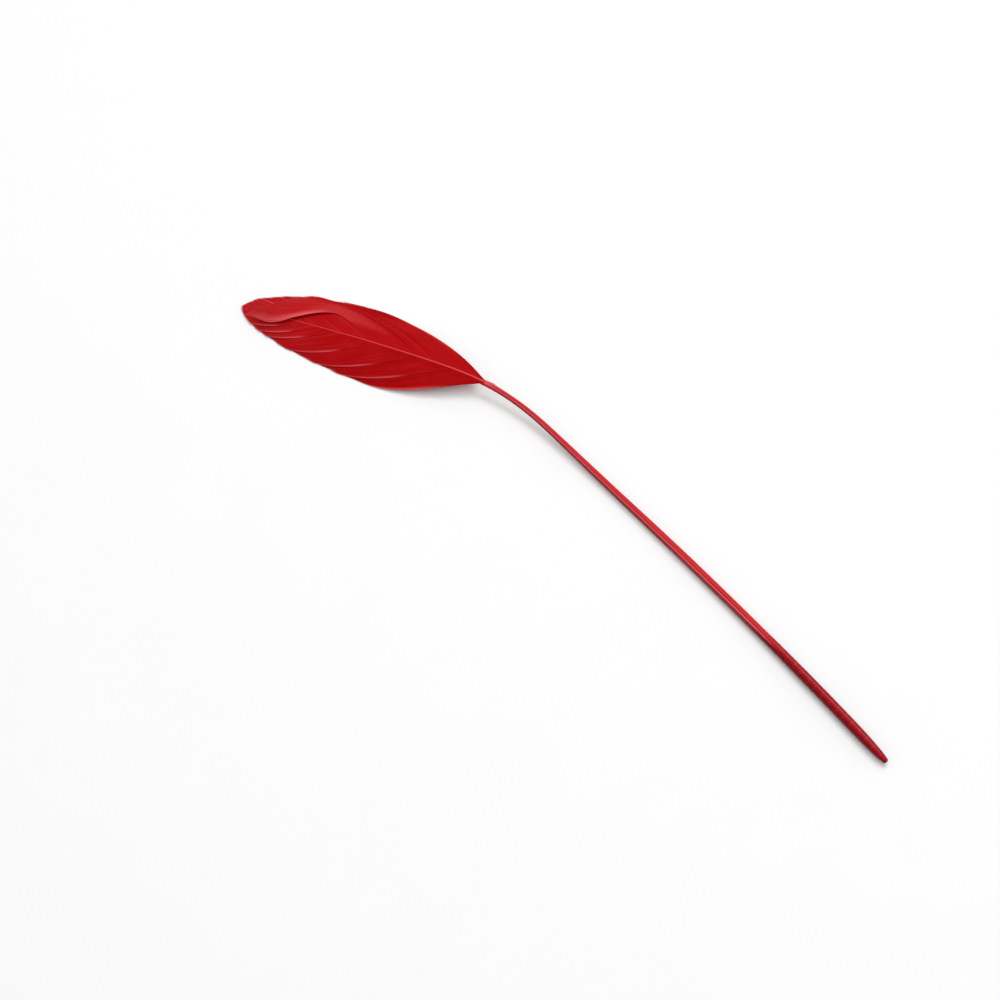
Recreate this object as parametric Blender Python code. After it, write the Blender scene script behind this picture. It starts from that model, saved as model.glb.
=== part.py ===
"""One dyed goose feather, stripped bare to a leaf-shaped vane at its tip, lying on a flat surface.

The feather grew as one piece, so it is one solid: the round hollow-ended quill, the squarer rachis
that carries on from it, and the vane of barbs on both sides of the rachis. The barbs hold together
in narrow locks. Here and there the vane has split between two locks, and on the right one group of
locks has slipped over its neighbours.

Metres, +Z up. +X runs from the quill towards the vane's tip. The origin is under the quill, on the
surface that the feather lies on. Left and right are as seen from above, looking along +X.
"""

import math
import random

import bmesh
import bpy
from mathutils import Matrix, Vector

# The whole feather, measured along its shaft
FEATHER_LENGTH = 0.300
VANE_LENGTH = 0.098
VANE_START = FEATHER_LENGTH - VANE_LENGTH
ORIGIN_AT = 0.040

# The shaft's bends in plan: a slow sweep along it, and a kink at the foot of the vane
SHAFT_SWEEP = math.radians(9)
KINK = math.radians(23)
KINK_START = 0.168
KINK_END = 0.222
SPINE_STEP = 0.001

# The shaft's thickness
QUILL_RADIUS = 0.00185
TAPER_START = 0.040
TIP_RADIUS = 0.00026
SHAFT_END = FEATHER_LENGTH - 0.009
ROUNDED_LENGTH = 0.018
BLUNT_SHARE = 0.38
RACHIS_DEPTH = 1.15
PIT_DEPTH = 0.0015
PIT_MOUTH_SHARE = 0.55
PIT_FLOOR_SHARE = 0.40
SHAFT_SIDES = 12
END_SECTIONS = (0.0, 0.0005, 0.0015, 0.003, 0.005, 0.0075, 0.0105, 0.014, 0.018)
RESTING_SECTIONS = 18
ARCHING_SECTIONS = 37
FIRST_RESTING_SECTION = 0.024
FIRST_ARCHING_SECTION = 0.133
ROUND, SQUARE = 1.0, 0.62
SQUARE_START, SQUARE_END = 0.055, 0.110

# How the shaft lies: flat on the surface, then arching over under the vane
REST_START = 0.014
REST_END = 0.128
ARCH_TOP = 0.224
ARCH_HEIGHT = 0.0044
TIP_DROP = 0.0042
TIP_DROP_POWER = 1.8

# The vane. Its two halves differ: the right one is wider, and its barbs are longer
LEFT, RIGHT = 1, -1
VANE_THICKNESS = 0.00032
VANE_HALF_WIDTH = 0.0155
CAMBER = 0.0050
ATTACHED_AT = 0.25
ROOT_INSIDE = 0.3
SOFT_LANDING = 0.0003
LONGEST_BARB = {LEFT: 0.0437, RIGHT: 0.0515}
BARB_TAPER = {LEFT: 1.63, RIGHT: 1.54}
BARB_ANGLE = {LEFT: math.radians(29.4), RIGHT: math.radians(28.1)}
BARB_ANGLE_TAPER = {LEFT: 13.6, RIGHT: 16.0}
TERMINAL_BARB = 0.0110
LAST_FOOT = VANE_LENGTH - TERMINAL_BARB
LOCKS = 26
ROWS = 12
RELIEF_GROWS_OVER = 0.3
LOCK_RELIEF = 0.00010
LOCK_NOTCH = 0.015
LENGTH_VARIATION = 0.012
SEED = 7

# Where the vane has split, counted in locks from its foot
SPLITS = {LEFT: (4, 8, 13, 18, 20, 22), RIGHT: (8, 13, 18, 22)}
SPLIT_ROOT = {LEFT: 0.35, RIGHT: 0.40}
PINCH = {LEFT: 0.06, RIGHT: 0.05}
OVERLAP = 0.5
SHINGLE = 0.00016
SPLIT_STEP = 0.00040
GROUP_END_STEP = {LEFT: 0.035, RIGHT: 0.0}

# On the right, one group of locks has slipped inwards over its neighbours. It crosses the rachis
# and reaches the vane's tip
FLAP_START, FLAP_END = 8, 13
FLAP_CURL = 1.5
LEAN = 0.0177
LEAN_FROM, LEAN_TO = 0.0596, 0.0869
FLAP_LENGTHENING = 0.38
FLAP_LIFT = 0.0013
FLAP_RISES_FROM, FLAP_LIFTED_BY = 0.30, 0.70

DYED_RED = (0.42, 0.012, 0.016, 1.0)
SHADED_SMOOTH_BELOW = math.radians(35)


def mix(a, b, share):
    return a + (b - a) * share


def spread(first, last, count):
    return [mix(first, last, i / (count - 1)) for i in range(count)]


def smooth(share):
    """Rises from 0 to 1 as share does, level at both ends."""
    share = min(1.0, max(0.0, share))
    return share * share * (3 - 2 * share)


def heading(s):
    """The shaft's direction in plan at s metres from the quill's end, as an angle to its start."""
    kink = KINK * smooth((s - KINK_START) / (KINK_END - KINK_START))
    return SHAFT_SWEEP * s / FEATHER_LENGTH + kink


def trace_spine():
    """The shaft's plan line, turned so that its two ends lie along X, and moved to the origin."""
    steps = round(FEATHER_LENGTH / SPINE_STEP)
    points = [Vector((0.0, 0.0))]
    for i in range(steps):
        angle = heading((i + 0.5) * SPINE_STEP)
        points.append(points[-1] + SPINE_STEP * Vector((math.cos(angle), math.sin(angle))))
    chord_angle = math.atan2(points[-1].y, points[-1].x)
    turn = Matrix.Rotation(-chord_angle, 2)
    origin = turn @ points[round(ORIGIN_AT / SPINE_STEP)]
    return [turn @ p - origin for p in points], chord_angle


SPINE, CHORD_ANGLE = trace_spine()


def spine_at(s):
    """The plan point and direction at s. Past the ends the line runs on straight."""
    along = min(max(s, 0.0), FEATHER_LENGTH)
    i = min(int(along / SPINE_STEP), len(SPINE) - 2)
    point = SPINE[i].lerp(SPINE[i + 1], along / SPINE_STEP - i)
    angle = heading(along) - CHORD_ANGLE
    direction = Vector((math.cos(angle), math.sin(angle)))
    return point + (s - along) * direction, direction


def half_width(s):
    """Half the shaft's width: a blunt rounded end, the full quill, then a long straight taper."""
    taper = min(1.0, max(0.0, (s - TAPER_START) / (SHAFT_END - TAPER_START)))
    full = mix(QUILL_RADIUS, TIP_RADIUS, taper)
    left = 1 - min(1.0, max(0.0, s / ROUNDED_LENGTH))
    return full * mix(BLUNT_SHARE, 1.0, math.sqrt(1 - left * left))


def half_depth(s):
    """Half the shaft's height. The rachis is a little deeper than it is wide."""
    return half_width(s) * mix(1.0, RACHIS_DEPTH, smooth((s - SQUARE_START) / (VANE_START - SQUARE_START)))


def shaft_height(s):
    """Height of the shaft's centre line."""
    resting = half_depth(max(s, REST_START))
    lift = ARCH_HEIGHT * smooth((s - REST_END) / (ARCH_TOP - REST_END))
    past_top = max(0.0, (s - ARCH_TOP) / (FEATHER_LENGTH - ARCH_TOP))
    return resting + lift - TIP_DROP * past_top**TIP_DROP_POWER


def section(squareness):
    """The shaft's outline for a half width and half depth of 1, with a flat facet under it."""
    points = []
    for i in range(SHAFT_SIDES):
        angle = 2 * math.pi * (i + 0.5) / SHAFT_SIDES
        y, z = math.cos(angle), math.sin(angle)
        points.append((math.copysign(abs(y) ** squareness, y), math.copysign(abs(z) ** squareness, z)))
    widest = max(abs(y) for y, z in points)
    return [(y / widest, z / widest) for y, z in points]


def shaft_ring(s, share=1.0):
    """The corners of the shaft's section at s, square to the shaft."""
    point, direction = spine_at(s)
    centre = Vector((point.x, point.y, shaft_height(s)))
    slope = (shaft_height(s + SPINE_STEP) - shaft_height(s - SPINE_STEP)) / (2 * SPINE_STEP)
    forward = Vector((direction.x, direction.y, slope)).normalized()
    side = Vector((-direction.y, direction.x, 0))
    up = forward.cross(side)
    squareness = mix(ROUND, SQUARE, smooth((s - SQUARE_START) / (SQUARE_END - SQUARE_START)))
    width, depth = half_width(s) * share, half_depth(s) * share
    return [centre + side * y * width + up * z * depth for y, z in section(squareness)]


def shaft_stations():
    """Where the shaft's sections stand: close together round the quill's end and where it bends."""
    resting = spread(FIRST_RESTING_SECTION, REST_END, RESTING_SECTIONS)
    return [*END_SECTIONS, *resting, *spread(FIRST_ARCHING_SECTION, SHAFT_END, ARCHING_SECTIONS)]


def make_shaft():
    """Quill and rachis in one: sections joined end to end, with a small pit in the quill's end."""
    rings = [shaft_ring(PIT_DEPTH, PIT_FLOOR_SHARE * half_width(0) / half_width(PIT_DEPTH))]
    rings.append(shaft_ring(0.0, PIT_MOUTH_SHARE))
    rings += [shaft_ring(s) for s in shaft_stations()]
    mesh = bmesh.new()
    loops = [[mesh.verts.new(corner) for corner in ring] for ring in rings]
    for ring, following in zip(loops, loops[1:]):
        for i in range(SHAFT_SIDES):
            j = (i + 1) % SHAFT_SIDES
            mesh.faces.new((ring[i], ring[j], following[j], following[i]))
    mesh.faces.new(loops[0])
    mesh.faces.new(loops[-1])
    bmesh.ops.recalc_face_normals(mesh, faces=mesh.faces)
    return as_object("feather", mesh)


def barb_length(side, foot):
    return mix(LONGEST_BARB[side], TERMINAL_BARB, (foot / LAST_FOOT) ** BARB_TAPER[side])


def in_flap(side, first):
    """Whether the group that begins at the lock called first is the one that has slipped."""
    return side == RIGHT and first == FLAP_START


def slipped(side, first, lock):
    """How far a lock has slipped inwards: 0 at the flap's near side, 1 or a little more at its far side."""
    if not in_flap(side, first):
        return 0.0
    return ((lock - first) / (FLAP_END - FLAP_START)) ** FLAP_CURL


def opened_at(side, last, share):
    """How far the split beyond the lock called last has opened. The one beside the flap stays closed."""
    if side == RIGHT and last == FLAP_START:
        return 0.0
    return smooth((share - SPLIT_ROOT[side]) / (1 - SPLIT_ROOT[side]))


def lean(along):
    return LEAN * smooth((along - LEAN_FROM) / (LEAN_TO - LEAN_FROM))


def barb_line(side, foot, length, slip):
    """One barb in plan, as (along the rachis, out from it). It curves round towards the vane's tip."""
    angle = BARB_ANGLE[side] * (1 - (foot / LAST_FOOT) ** BARB_ANGLE_TAPER[side])
    along, out = foot, ROOT_INSIDE * half_width(VANE_START + foot) * (foot < LAST_FOOT)
    line = [(along, out)]
    for row in range(ROWS):
        direction = angle * (1 - ((row + 0.5) / ROWS) ** 2)
        along += length / ROWS * math.cos(direction)
        out += length / ROWS * math.sin(direction)
        line.append((along, out - slip * (lean(along) - lean(foot))))
    return line


def vane_height(along, out):
    """Height of the vane's middle surface, which curves down from the rachis to both edges."""
    s = VANE_START + along
    root = shaft_height(s) + ATTACHED_AT * half_depth(min(s, SHAFT_END))
    return root - CAMBER * (abs(out) / VANE_HALF_WIDTH) ** 2


def on_vane(side, along, out, lift):
    """The point of the vane at this place, raised by lift, and never below the surface it lies on."""
    point, direction = spine_at(VANE_START + along)
    across = Vector((-direction.y, direction.x)) * side * out
    height = vane_height(along, out) + lift - VANE_THICKNESS / 2
    landed = (height + math.hypot(height, SOFT_LANDING)) / 2
    return Vector((point.x + across.x, point.y + across.y, landed + VANE_THICKNESS / 2))


def groups_of(side):
    """The vane's groups of locks between one split and the next, as (first lock, last lock)."""
    cuts = [0, *SPLITS[side], LOCKS]
    return list(zip(cuts, cuts[1:]))


def relief(lock, share):
    """How far a lock's middle stands up and its sides lie down, growing away from the rachis."""
    if lock in (0, LOCKS):
        return 0.0
    return (LOCK_RELIEF if lock % 1 else -LOCK_RELIEF) * smooth(share / RELIEF_GROWS_OVER)


def place(side, first, last, lock, row, uneven):
    """A point of a group of locks: on its barb, drawn in where the group has come away from the next.

    Each group's far side lies under the next group. Only the flap's lies over it, and rises.
    """
    foot, middle = (LAST_FOOT * n / LOCKS for n in (lock, (first + last) / 2))
    slip, middle_slip = (slipped(side, first, n) for n in (lock, (first + last) / 2))
    share, across = row / ROWS, (lock - first) / (last - first)
    length = barb_length(side, foot) * uneven * (1 + GROUP_END_STEP[side] * (0.5 - across))
    if in_flap(side, first):
        length *= 1 + FLAP_LENGTHENING * across
    own = barb_line(side, foot, length, slip)[row]
    centre = barb_line(side, middle, barb_length(side, middle), middle_slip)[row]
    opened = opened_at(side, last, share)
    pinch = PINCH[side] * opened * (0 < lock < LOCKS) * max(0.0, 1 - slip)
    along, out = (mix(a, b, pinch) for a, b in zip(own, centre))
    step = (SHINGLE + SPLIT_STEP * opened) * smooth(share / RELIEF_GROWS_OVER)
    if in_flap(side, first):
        risen = smooth((share - FLAP_RISES_FROM) / (FLAP_LIFTED_BY - FLAP_RISES_FROM))
        step = -step - FLAP_LIFT * risen
    return on_vane(side, along, out, relief(lock, share) - step * across)


def add_group(mesh, side, first, last, chance, axis=None):
    """Adds one group of locks, each with a ridge along its middle, and returns its last column.

    It reaches a little under the next group. The vane's last column lies on the rachis's own line,
    so the second side takes it over from the first, as axis.
    """
    locks = [first + n / 2 for n in range(2 * (last - first) + 1)]
    if last < LOCKS:
        locks[-1] += OVERLAP
    columns = []
    for lock in locks[:-1] if axis else locks:
        notch = 1.0 if lock % 1 else 1 - LOCK_NOTCH
        uneven = notch * (1 + chance.uniform(-LENGTH_VARIATION, LENGTH_VARIATION)) if lock < LOCKS else 1.0
        points = [place(side, first, last, lock, row, uneven) for row in range(ROWS + 1)]
        columns.append([mesh.verts.new(point) for point in points])
    if axis:
        columns.append(axis)
    for column, following in zip(columns, columns[1:]):
        for row in range(ROWS):
            face = (column[row], column[row + 1], following[row + 1], following[row])
            mesh.faces.new(face if side == RIGHT else face[::-1])
    return columns[-1]


def make_vane():
    """Every group of locks as a thick sheet of its own. The last group spans both sides of the rachis."""
    chance = random.Random(SEED)
    sheets = []
    for side, name in ((LEFT, "left"), (RIGHT, "right")):
        for number, (first, last) in enumerate(groups_of(side)[:-1]):
            mesh = bmesh.new()
            add_group(mesh, side, first, last, chance)
            sheets.append(thick_sheet(f"vane_{name}_{number}", mesh))
    mesh = bmesh.new()
    axis = add_group(mesh, LEFT, SPLITS[LEFT][-1], LOCKS, chance)
    add_group(mesh, RIGHT, SPLITS[RIGHT][-1], LOCKS, chance, axis)
    sheets.append(thick_sheet("vane_tip", mesh))
    return sheets


def thick_sheet(name, mesh):
    """A sheet with its thickness, kept only to be joined to the feather."""
    bmesh.ops.recalc_face_normals(mesh, faces=mesh.faces)
    sheet = as_object(name, mesh)
    thicken = sheet.modifiers.new("thickness", "SOLIDIFY")
    thicken.thickness = VANE_THICKNESS
    thicken.offset = 0.0
    sheet.hide_render = True
    sheet.display_type = "WIRE"
    return sheet


def as_object(name, mesh):
    data = bpy.data.meshes.new(name)
    mesh.to_mesh(data)
    mesh.free()
    made = bpy.data.objects.new(name, data)
    bpy.context.scene.collection.objects.link(made)
    return made


def dyed_keratin():
    """Red-dyed keratin: satin, not metallic."""
    material = bpy.data.materials.new("dyed_keratin")
    material.use_nodes = True
    shader = material.node_tree.nodes["Principled BSDF"]
    shader.inputs["Base Color"].default_value = DYED_RED
    shader.inputs["Roughness"].default_value = 0.5
    shader.inputs["Metallic"].default_value = 0.0
    material.diffuse_color = DYED_RED
    return material


def build():
    for old in list(bpy.data.objects):
        bpy.data.objects.remove(old, do_unlink=True)
    feather = make_shaft()
    finish = dyed_keratin()
    feather.data.materials.append(finish)
    for sheet in make_vane():
        sheet.data.materials.append(finish)
        join = feather.modifiers.new(sheet.name, "BOOLEAN")
        join.operation = "UNION"
        join.solver = "MANIFOLD"
        join.object = sheet
    feather.data.shade_smooth()
    feather.data.set_sharp_from_angle(angle=SHADED_SMOOTH_BELOW)


build()
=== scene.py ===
"""The looks of one red-dyed goose feather, stripped bare to a leaf-shaped vane at its tip.

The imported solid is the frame. It is replaced by finer pieces of the same form: the quill and rachis,
the vane barb by barb, and the stumps that stripping left along the shaft. Apart from their fine
detail they come from the same named values and formulas as the solid. Metres, +Z up, +X from the
quill towards the tip.
"""

import math
import random

import bpy
from mathutils import Matrix, Vector, noise


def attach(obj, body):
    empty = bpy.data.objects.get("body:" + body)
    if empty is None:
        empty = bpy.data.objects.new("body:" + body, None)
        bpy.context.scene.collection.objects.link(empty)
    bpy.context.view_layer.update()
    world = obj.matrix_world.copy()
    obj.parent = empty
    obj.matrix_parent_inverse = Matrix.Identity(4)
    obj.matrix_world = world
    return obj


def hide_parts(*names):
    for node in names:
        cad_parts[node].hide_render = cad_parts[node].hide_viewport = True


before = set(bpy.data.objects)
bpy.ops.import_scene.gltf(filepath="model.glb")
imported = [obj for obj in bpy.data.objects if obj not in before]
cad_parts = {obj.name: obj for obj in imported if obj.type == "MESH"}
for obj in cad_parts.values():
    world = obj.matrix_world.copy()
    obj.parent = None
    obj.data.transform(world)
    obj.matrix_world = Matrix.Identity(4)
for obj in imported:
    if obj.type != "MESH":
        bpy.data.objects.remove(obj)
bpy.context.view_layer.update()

NODE, BODY, SLOT = "feather", "root", "dyed_keratin"

# The whole feather, measured along its shaft
FEATHER_LENGTH = 0.300
VANE_LENGTH = 0.098
VANE_START = FEATHER_LENGTH - VANE_LENGTH
ORIGIN_AT = 0.040

# The shaft's bends in plan: a slow sweep along it, and a kink at the foot of the vane
SHAFT_SWEEP = math.radians(9)
KINK = math.radians(23)
KINK_START = 0.168
KINK_END = 0.222
SPINE_STEP = 0.001

# The shaft's thickness
QUILL_RADIUS = 0.00185
TAPER_START = 0.040
TIP_RADIUS = 0.00026
SHAFT_END = FEATHER_LENGTH - 0.009
ROUNDED_LENGTH = 0.018
BLUNT_SHARE = 0.38
RACHIS_DEPTH = 1.15
PIT_DEPTH = 0.0015
PIT_MOUTH_SHARE = 0.55
PIT_FLOOR_SHARE = 0.40
ROUND, SQUARE = 1.0, 0.62
SQUARE_START, SQUARE_END = 0.055, 0.110

# How the shaft lies: flat on the surface, then arching over under the vane
REST_START = 0.014
REST_END = 0.128
ARCH_TOP = 0.224
ARCH_HEIGHT = 0.0044
TIP_DROP = 0.0042
TIP_DROP_POWER = 1.8

# The shaft's fine form
SHAFT_SIDES = 32
ROUNDED_STEPS = 14
SHAFT_SHARP_ABOVE = math.radians(50)
QUILL_END = 0.056
QUILL_STEP = 0.0005
STRIPPED_STEP = 0.00014
VANED_STEP = 0.0005
GROOVE_DEPTH = 0.24
GROOVE_WIDTH = 0.34
GROOVE_FADES_OVER = 0.02
SCAR_ANGLE = math.radians(20)
SCAR_HALF_WIDTH = math.radians(17)
SCAR_NARROWING = 1.3
SCAR_DEPTH = 0.000030
SCAR_ROUGHNESS = 0.3
SCAR_LIP = 0.000012
SCAR_LIP_AT = 1.15
SCAR_LIP_NARROWING = 3.5
SCAR_LIP_ROUGHNESS = 0.6
SCAR_PITCH = 0.00058
SCAR_NOTCH = 0.000007
SCAR_GRAIN_ALONG, SCAR_GRAIN_AROUND = 2600, 3
SCAR_GROWS_OVER = 0.006
SCAR_END = VANE_START + 0.002
SCAR_FADES_OVER = 0.004
WOBBLE = 0.008
WOBBLE_GRAIN = 90
# A paler top line along the rachis in the vane, partly painted highlight
TOP_LINE_AND_HIGHLIGHT_GROWS_OVER = 0.005

# The vane. Its two halves differ: the right one is wider, and its barbs are longer
LEFT, RIGHT = 1, -1
VANE_THICKNESS = 0.00032
VANE_HALF_WIDTH = 0.0155
CAMBER = 0.0050
ATTACHED_AT = 0.25
SHOULDER_AT = 1.02
SHOULDER_WIDTH = 0.0026
ROOT_INSIDE = 0.34
TIP_CLOSES_OVER = 0.003
SOFT_LANDING = 0.0003
LONGEST_BARB = {LEFT: 0.0437, RIGHT: 0.0515}
BARB_TAPER = {LEFT: 1.63, RIGHT: 1.54}
BARB_ANGLE = {LEFT: math.radians(29.4), RIGHT: math.radians(28.1)}
BARB_ANGLE_TAPER = {LEFT: 13.6, RIGHT: 16.0}
TERMINAL_BARB = 0.0110
LAST_FOOT = VANE_LENGTH - TERMINAL_BARB
LOCKS = 26
RELIEF_GROWS_OVER = 0.3
LOCK_RELIEF = 0.00007
LOCK_RELIEF_SHARES = 0.1, 1.2
NORMAL_REACH = 0.0004
SEED = 7

# Where the vane has split, counted in locks from its foot
SPLITS = {LEFT: (4, 8, 13, 18, 20, 22), RIGHT: (8, 13, 18, 22)}
SPLIT_ROOT = {LEFT: 0.35, RIGHT: 0.40}
PINCH = {LEFT: 0.06, RIGHT: 0.05}
OVERLAP = 0.5
SHINGLE = 0.00016
SPLIT_STEP = 0.00022
GROUP_END_STEP = {LEFT: 0.035, RIGHT: 0.0}

# On the right, one group of locks has slipped inwards over its neighbours. It crosses the rachis
# and reaches the vane's tip
FLAP_START, FLAP_END = 8, 13
FLAP_CURL = 1.5
LEAN = 0.0177
LEAN_FROM, LEAN_TO = 0.0596, 0.0869
FLAP_LENGTHENING = 0.38
FLAP_LIFT = 0.0013
FLAP_RISES_FROM, FLAP_LIFTED_BY = 0.30, 0.70

# The barbs: thin ribbons that overlap like tiles, each with a rib along it
BARBS_PER_LOCK = 10
BARB_STEPS = 30
BARB_SHARP_ABOVE = math.radians(60)
BARB_OVERLAP = 0.75
BARB_HALF_WIDTHS = 0.000045, 0.00024
BARB_TILT = 0.16
STEEPEST_LEAN = 0.5
BARB_UV_CORNERS = -0.4, 0.0, 0.4, 0.0, -0.4
RIB_AT = -0.35
RIB_HEIGHT = 0.000032
KEEL_DEPTH = 0.000060
BARB_TIP_SHARE = 0.38
BARB_TIP_START = 0.90
LOCK_LENGTH_VARIATION = 0.010
BARB_LENGTH_VARIATION = 0.004
BARB_LIFT_VARIATION = 0.00002
LIFT_GROWS_OVER = 0.5
CLUMPING = 0.12
CLUMPS_GROW_OVER = 0.5
FINE_CLUMPING = 0.5
STRAY_SHARE = 0.015
STRAY_LENGTHENING = 0.012
STRAY_DRIFT = 0.0004
STRAY_DRIFT_SHARES = -0.4, 1
STRAY_LIFT = 0.00020
LIP_HEIGHT = 0.00024
LIP_WIDTH = 0.7
# Painted light on the barbs: painted highlights along split lips, the vane's rim and the barb tips, painted
# sheen over the flap, and painted shade under the next group
LIP_PALES_OVER = 0.20
LIP_PALEST_AT = 0.65
LIP_PALE_AT_TIP = 0.45
RIM_PALE_FROM, RIM_PALES_OVER = 0.25, 0.30
EDGE_HIGHLIGHT_BARBS = 7.0
RIM_HIGHLIGHT_BARBS = 9.0
TIP_HIGHLIGHT_FROM = 0.95
TIP_PAINTED_HIGHLIGHT, FLAP_TIP_PAINTED_HIGHLIGHT = 0.50, 0.15
# Painted sheen over the slipped flap, which rises and falls along its barbs
FLAP_PAINTED_SHEEN = 0.24
FLAP_PALES_OVER = 2 / 3
HAZE_RISES_FROM, HAZE_RISES_OVER = 0.18, 0.17
HAZE_FALLS_FROM, HAZE_FALLS_OVER = 0.50, 0.25
HAZE_AT_TIP = 0.25
# Painted shade where a group's barbs lie under the next group
SHADED_UNDER = 0.15

# How fast the clumps change from lock to lock and along a barb, and how far apart the two halves' are
COARSE_CLUMPS = 1.9, 1.5, 5.0
FINE_CLUMPS = 4.7, 2.2, 9.0

# What stripping left: a stump for each barb, longer close to the vane
STUMPS_FROM, STUMPS_TO = QUILL_END + 0.004, VANE_START + 0.001
STUMP_DRIFT = 0.3
STUMP_HEIGHT = 0.36
STUMP_SUNK = 1.5 * SCAR_DEPTH
STUMP_LENGTH, STUMP_LENGTH_SHARES = 0.00028, (0.3, 1.2)
STUMP_RADIUS, STUMP_RADIUS_SHARES = 0.00007, (0.7, 1.2)
STUMP_ANGLE, STUMP_ANGLE_SHARES = math.radians(22), (0.5, 1.3)
STUMP_STEPS = 5
STUMP_DROOP = 0.25
STUMP_CURL = 0.4
STUMP_FLATNESS = 0.6
STUMP_TIP_SHARE, STUMP_TAPER_POWER = 0.15, 1.5
STUMP_UV_ALONG_SHAFT, STUMP_UV_AROUND = 40, 0.01
STUMP_PALENESS = 0.25
REMNANTS_FROM = 0.189
REMNANT_LENGTH, REMNANT_LENGTH_SHARES = 0.0062, (0.2, 1)
REMNANT_RADIUS = 0.00014
REMNANT_ANGLE = math.radians(15)

# The camera, at the photograph's angle, and the square picture's framing
CAMERA_AZIMUTH = math.radians(-140.7)
CAMERA_ELEVATION = math.radians(60)
CAMERA_DISTANCE = 0.986
CAMERA_TARGET = Vector((0.1258, 0.0124, 0.003))
LENS = 100
CLIP_START, CLIP_END = 0.01, 20
FLOOR_SIZE = 4.0

# The white tent around it, brighter on one side. Its azimuth is measured from the camera's
BRIGHT_SIDE_AZIMUTH, BRIGHT_SIDE_ELEVATION = math.radians(105), math.radians(35)
TENT_STRENGTHS = 0.36, 0.86


def mix(a, b, share):
    return a + (b - a) * share


def smooth(share):
    """Rises from 0 to 1 as share does, level at both ends."""
    share = min(1.0, max(0.0, share))
    return share * share * (3 - 2 * share)


def heading(s):
    """The shaft's direction in plan at s metres from the quill's end, as an angle to its start."""
    kink = KINK * smooth((s - KINK_START) / (KINK_END - KINK_START))
    return SHAFT_SWEEP * s / FEATHER_LENGTH + kink


def trace_spine():
    """The shaft's plan line, turned so that its two ends lie along X, and moved to the origin."""
    steps = round(FEATHER_LENGTH / SPINE_STEP)
    points = [Vector((0.0, 0.0))]
    for i in range(steps):
        angle = heading((i + 0.5) * SPINE_STEP)
        points.append(points[-1] + SPINE_STEP * Vector((math.cos(angle), math.sin(angle))))
    chord_angle = math.atan2(points[-1].y, points[-1].x)
    turn = Matrix.Rotation(-chord_angle, 2)
    origin = turn @ points[round(ORIGIN_AT / SPINE_STEP)]
    return [turn @ p - origin for p in points], chord_angle


SPINE, CHORD_ANGLE = trace_spine()


def spine_at(s):
    """The plan point and direction at s. Past the ends the line runs on straight."""
    along = min(max(s, 0.0), FEATHER_LENGTH)
    i = min(int(along / SPINE_STEP), len(SPINE) - 2)
    point = SPINE[i].lerp(SPINE[i + 1], along / SPINE_STEP - i)
    angle = heading(along) - CHORD_ANGLE
    direction = Vector((math.cos(angle), math.sin(angle)))
    return point + (s - along) * direction, direction


def half_width(s):
    """Half the shaft's width: a blunt rounded end, the full quill, then a long straight taper."""
    taper = min(1.0, max(0.0, (s - TAPER_START) / (SHAFT_END - TAPER_START)))
    full = mix(QUILL_RADIUS, TIP_RADIUS, taper)
    left = 1 - min(1.0, max(0.0, s / ROUNDED_LENGTH))
    return full * mix(BLUNT_SHARE, 1.0, math.sqrt(1 - left * left))


def half_depth(s):
    """Half the shaft's height. The rachis is a little deeper than it is wide."""
    return half_width(s) * mix(1.0, RACHIS_DEPTH, smooth((s - SQUARE_START) / (VANE_START - SQUARE_START)))


def shaft_height(s):
    """Height of the shaft's centre line."""
    resting = half_depth(max(s, REST_START))
    lift = ARCH_HEIGHT * smooth((s - REST_END) / (ARCH_TOP - REST_END))
    past_top = max(0.0, (s - ARCH_TOP) / (FEATHER_LENGTH - ARCH_TOP))
    return resting + lift - TIP_DROP * past_top**TIP_DROP_POWER


def shaft_frame(s):
    """The shaft's centre, forward, sideways and upward directions at s."""
    point, direction = spine_at(s)
    slope = (shaft_height(s + SPINE_STEP) - shaft_height(s - SPINE_STEP)) / (2 * SPINE_STEP)
    forward = Vector((direction.x, direction.y, slope)).normalized()
    side = Vector((-direction.y, direction.x, 0))
    return Vector((point.x, point.y, shaft_height(s))), forward, side, forward.cross(side)


def squareness_at(s):
    return mix(ROUND, SQUARE, smooth((s - SQUARE_START) / (SQUARE_END - SQUARE_START)))


def outline(squareness, angle):
    """A point of the shaft's section for a half width and half depth of 1."""
    y, z = math.cos(angle), math.sin(angle)
    return math.copysign(abs(y) ** squareness, y), math.copysign(abs(z) ** squareness, z)


def bell(x):
    return math.exp(-x * x)


def scar_relief(s, angle):
    """How far the surface stands out where barbs were pulled off: a notched strip between two lips."""
    if angle > math.pi:
        return 0.0
    off = (min(angle, math.pi - angle) - SCAR_ANGLE) / SCAR_HALF_WIDTH
    strip = bell(off * SCAR_NARROWING)
    lips = bell((abs(off) - SCAR_LIP_AT) * SCAR_LIP_NARROWING)
    notch = SCAR_NOTCH * math.cos(2 * math.pi * s / SCAR_PITCH)
    rough = noise.noise(Vector((s * SCAR_GRAIN_ALONG, angle * SCAR_GRAIN_AROUND, 0)))
    depth = SCAR_DEPTH * (1 + SCAR_ROUGHNESS * rough)
    lip = SCAR_LIP * (1 + SCAR_LIP_ROUGHNESS * rough)
    present = smooth((s - QUILL_END) / SCAR_GROWS_OVER) * smooth((SCAR_END - s) / SCAR_FADES_OVER)
    return present * (strip * (notch - depth) + lip * lips)


def groove(s, y, z):
    """How far the furrow under the rachis goes in, in half depths."""
    if z > 0:
        return 0.0
    present = smooth((s - QUILL_END) / GROOVE_FADES_OVER) * smooth((SHAFT_END - s) / GROOVE_FADES_OVER)
    return GROOVE_DEPTH * bell(y / GROOVE_WIDTH) * present


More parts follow.
